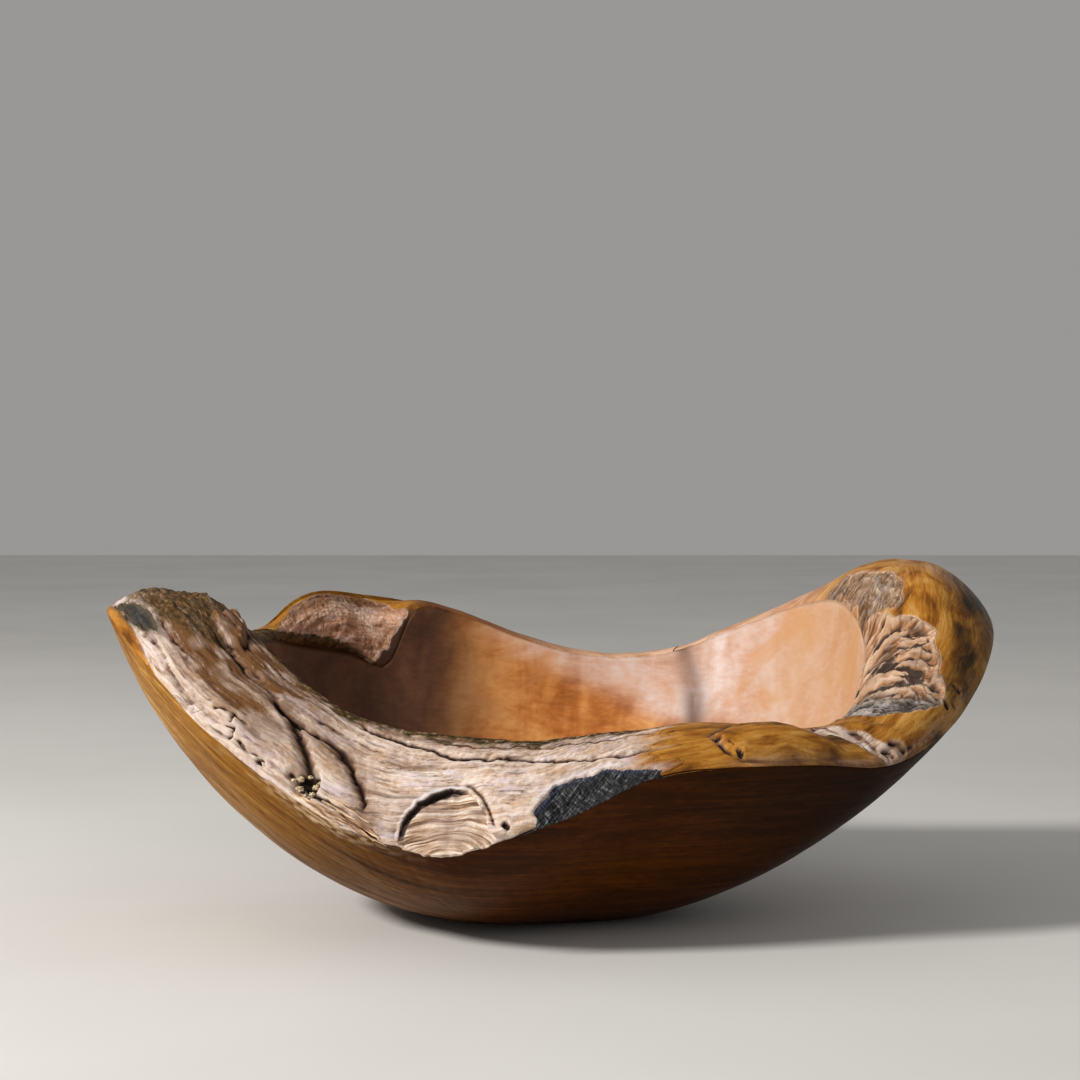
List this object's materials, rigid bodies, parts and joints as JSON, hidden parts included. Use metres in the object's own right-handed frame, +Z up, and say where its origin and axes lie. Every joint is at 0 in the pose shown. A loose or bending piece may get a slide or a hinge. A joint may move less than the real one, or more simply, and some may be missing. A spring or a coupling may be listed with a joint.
{
  "type": "carved wooden bowl",
  "caption": "Free-form carved root-wood bowl with a natural live edge, a pointed prow end, a tall burl end and a small flat base.",
  "frame": {"origin": "centre of the sanded flat under the bowl, on the surface it stands on", "axes": "+Z up, +X towards the tall burl end, -X towards the pointed prow, -Y towards the low front rim"},
  "size_m": [0.4215, 0.2684, 0.1682],
  "materials": {
    "oiled_heartwood": "oiled satin, smooth, red-brown with darker figure",
    "weathered_sapwood": "dry, rough, fissured along the grain",
    "end_grain_knot": "dry, fine concentric growth rings",
    "black_heartwood": "dry, cross-hatched, slate black",
    "black_tip_wood": "dry, cracked, black to grey-green",
    "pale_rotted_wood": "chalky, matte",
    "split_sliver": "raw fibrous split",
    "back_weathered_sapwood": "dry, mottled brown and pale",
    "dark_bark_edge": "rough, dark, mossy brown",
    "torn_bark": "fibrous, torn in layers",
    "grey_weathered_wood": "dry, grey-brown, flaky"
  },
  "bodies": {
    "root": {"bowl_body": "oiled_heartwood", "front_sapwood_crust": "weathered_sapwood", "fan_knot": "end_grain_knot", "black_heart_patch": "black_heartwood", "tip_black_patch": "black_tip_wood", "knot_hole_crumbs": "pale_rotted_wood", "rim_splinter": "split_sliver", "back_left_sapwood": "back_weathered_sapwood", "notch_bark_strip": "dark_bark_edge", "right_bark_layers": "torn_bark", "right_top_sapwood": "grey_weathered_wood"}
  },
  "joints": []
}
